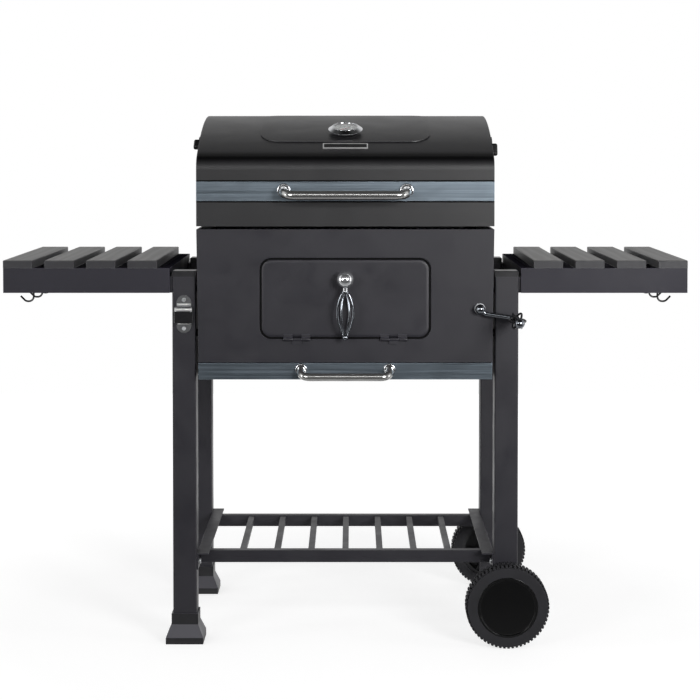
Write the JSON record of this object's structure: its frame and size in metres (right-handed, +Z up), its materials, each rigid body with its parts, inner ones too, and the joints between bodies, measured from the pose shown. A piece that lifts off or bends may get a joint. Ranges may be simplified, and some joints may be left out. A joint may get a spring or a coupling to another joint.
{
  "type": "charcoal grill cart",
  "caption": "Charcoal grill cart: firebox with hinged lid, charcoal door, ash drawer and crank-lifted tray, slatted side tables, lower shelf, feet and wheels.",
  "frame": {"origin": "on the floor, under the middle of the whole object's box", "axes": "+X to the user's right along the longest side, +Y from the front to the back, +Z up"},
  "size_m": [1.381, 0.6452, 1.0743],
  "materials": {
    "body_paint": "powder coat, satin anthracite",
    "lid_paint": "heat-proof satin paint",
    "dark_plastic": "moulded, fine grain",
    "tyre": "moulded tread, matt",
    "hubcap": "polished black",
    "brushed_steel": "brushed along its length",
    "chrome": "polished",
    "zinc_steel": "zinc plated",
    "enamel": "black enamel",
    "black_wire": "gloss black lacquer",
    "stained_wood": "dark stained, open grain",
    "dial_face": "printed scale without words",
    "needle_red": "red paint",
    "clear_glass": "clear"
  },
  "bodies": {
    "cart": {"left_legs": "body_paint", "right_legs": "body_paint", "leg_caps": "dark_plastic", "feet": "dark_plastic", "wheel_axle": "zinc_steel", "shelf_side_angles": "body_paint", "shelf_rails": "body_paint", "shelf_bars": "body_paint", "firebox_front_panel": "body_paint", "firebox_side_panels": "body_paint", "firebox_back_panel": "body_paint", "grate_ledges": "body_paint", "cooking_grates": "enamel", "door_hinge_leaves": "body_paint", "door_hinge_pins": "zinc_steel", "firebox_guides": "body_paint", "shaft_bearings": "zinc_steel", "lid_hinge_brackets": "lid_paint", "lid_hinge_pins": "zinc_steel", "left_table_frame": "body_paint", "right_table_frame": "body_paint", "table_slats": "stained_wood", "tool_hooks": "black_wire", "bottle_opener": "chrome", "frame_fasteners": "zinc_steel", "mounting_spacers": "body_paint"},
    "lid": {"lid_shell": "lid_paint", "lid_end_plates": "lid_paint", "lid_band": "brushed_steel", "lid_handle": "brushed_steel", "lid_handle_ferrules": "chrome", "lid_hinge_straps": "lid_paint", "thermometer_case": "chrome", "thermometer_dial": "dial_face", "thermometer_glass": "clear_glass", "thermometer_nut": "zinc_steel", "name_plate": "chrome"},
    "needle": {"thermometer_needle": "needle_red"},
    "left_damper": {"left_vent_damper": "dark_plastic"},
    "right_damper": {"right_vent_damper": "dark_plastic"},
    "door": {"door_panel": "body_paint"},
    "door_handle": {"door_knob": "chrome", "door_grip": "chrome", "door_latch_cam": "zinc_steel"},
    "drawer": {"drawer_pan": "zinc_steel", "drawer_front": "brushed_steel", "drawer_handle": "brushed_steel", "drawer_handle_ferrules": "chrome"},
    "tray": {"charcoal_tray": "enamel", "lift_racks": "zinc_steel"},
    "crank": {"crank_shaft": "zinc_steel", "lift_pinions": "zinc_steel", "crank_arm": "chrome"},
    "grip": {"crank_grip": "black_wire"},
    "front_wheel": {"front_tyre": "tyre", "front_wheel_hub": "dark_plastic", "front_hubcap": "hubcap"},
    "rear_wheel": {"rear_tyre": "tyre", "rear_wheel_hub": "dark_plastic", "rear_hubcap": "hubcap"}
  },
  "joints": [
    {"name": "lid_swing", "type": "hinge", "parent": "cart", "child": "lid", "pos_m": [0, 0.26664, 0.845], "axis": [-1, 0, 0], "range_deg": [0, 95]},
    {"name": "needle_turn", "type": "hinge", "parent": "lid", "child": "needle", "pos_m": [0, -0.07301, 1.03703], "axis": [0, 0.3245, -0.9459], "range_deg": [0, 260]},
    {"name": "left_damper_turn", "type": "hinge", "parent": "lid", "child": "left_damper", "pos_m": [-0.3, -0.07636, 0.994], "axis": [-1, 0, 0], "range_deg": [0, 45]},
    {"name": "right_damper_turn", "type": "hinge", "parent": "lid", "child": "right_damper", "pos_m": [0.3, -0.07636, 0.994], "axis": [-1, 0, 0], "range_deg": [0, 45]},
    {"name": "door_swing", "type": "hinge", "parent": "cart", "child": "door", "pos_m": [0, -0.19836, 0.6206], "axis": [1, 0, 0], "range_deg": [0, 90]},
    {"name": "handle_turn", "type": "hinge", "parent": "door", "child": "door_handle", "pos_m": [0, -0.21636, 0.742], "axis": [0, 1, 0], "range_deg": [0, 90]},
    {"name": "drawer_slide", "type": "slide", "parent": "cart", "child": "drawer", "axis": [0, -1, 0], "range_m": [0, 0.3]},
    {"name": "tray_lift", "type": "slide", "parent": "cart", "child": "tray", "axis": [0, 0, 1], "range_m": [0, 0.08]},
    {"name": "crank_turn", "type": "hinge", "parent": "cart", "child": "crank", "pos_m": [0.271, -0.20836, 0.68197], "axis": [0, 1, 0], "range_deg": [0, 327.4]},
    {"name": "grip_spin", "type": "hinge", "parent": "crank", "child": "grip", "pos_m": [0.3405, -0.21436, 0.66397], "axis": [0, 1, 0], "continuous": true},
    {"name": "front_wheel_spin", "type": "hinge", "parent": "cart", "child": "front_wheel", "pos_m": [0.326, -0.18236, 0.084], "axis": [0, 1, 0], "continuous": true},
    {"name": "rear_wheel_spin", "type": "hinge", "parent": "cart", "child": "rear_wheel", "pos_m": [0.326, 0.27164, 0.084], "axis": [0, 1, 0], "continuous": true}
  ],
  "couplings": [
    {"joint": "crank_turn", "follows": "tray_lift", "rad_per_m": 71.429}
  ]
}
